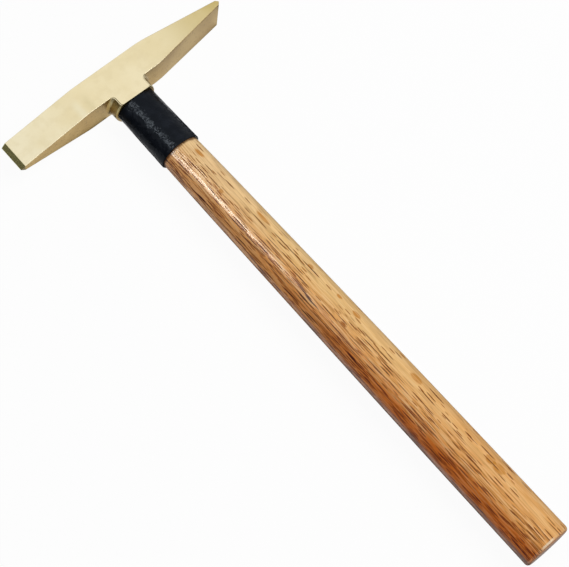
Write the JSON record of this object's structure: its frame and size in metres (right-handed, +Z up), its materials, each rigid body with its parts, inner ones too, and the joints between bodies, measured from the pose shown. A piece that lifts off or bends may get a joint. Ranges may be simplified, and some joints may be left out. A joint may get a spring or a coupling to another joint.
{
  "type": "scaling hammer",
  "caption": "Scaling hammer with a brass head that has a flat blade on one side and a cross blade on the other, a round wooden handle wedged in its eye, and a black neck sleeve.",
  "frame": {"origin": "middle of the footprint of the hammer lying on its side, at the level of its lowest point", "axes": "+X along the head towards the cross blade, +Y along the handle towards the head, +Z up, out of the upper cheek"},
  "size_m": [0.1346, 0.3203, 0.0257],
  "materials": {
    "head_brass": "satin, ground and lightly sandblasted",
    "handle_wood": "clear varnish over flecked beech",
    "sleeve_black": "shrunk sleeve, satin and slightly uneven",
    "wedge_wood": "bare end grain",
    "wedge_brass": "dull"
  },
  "bodies": {
    "root": {"hammer_head": "head_brass", "handle": "handle_wood", "handle_sleeve": "sleeve_black", "wood_wedge": "wedge_wood", "pin_wedge": "wedge_brass"}
  },
  "joints": []
}
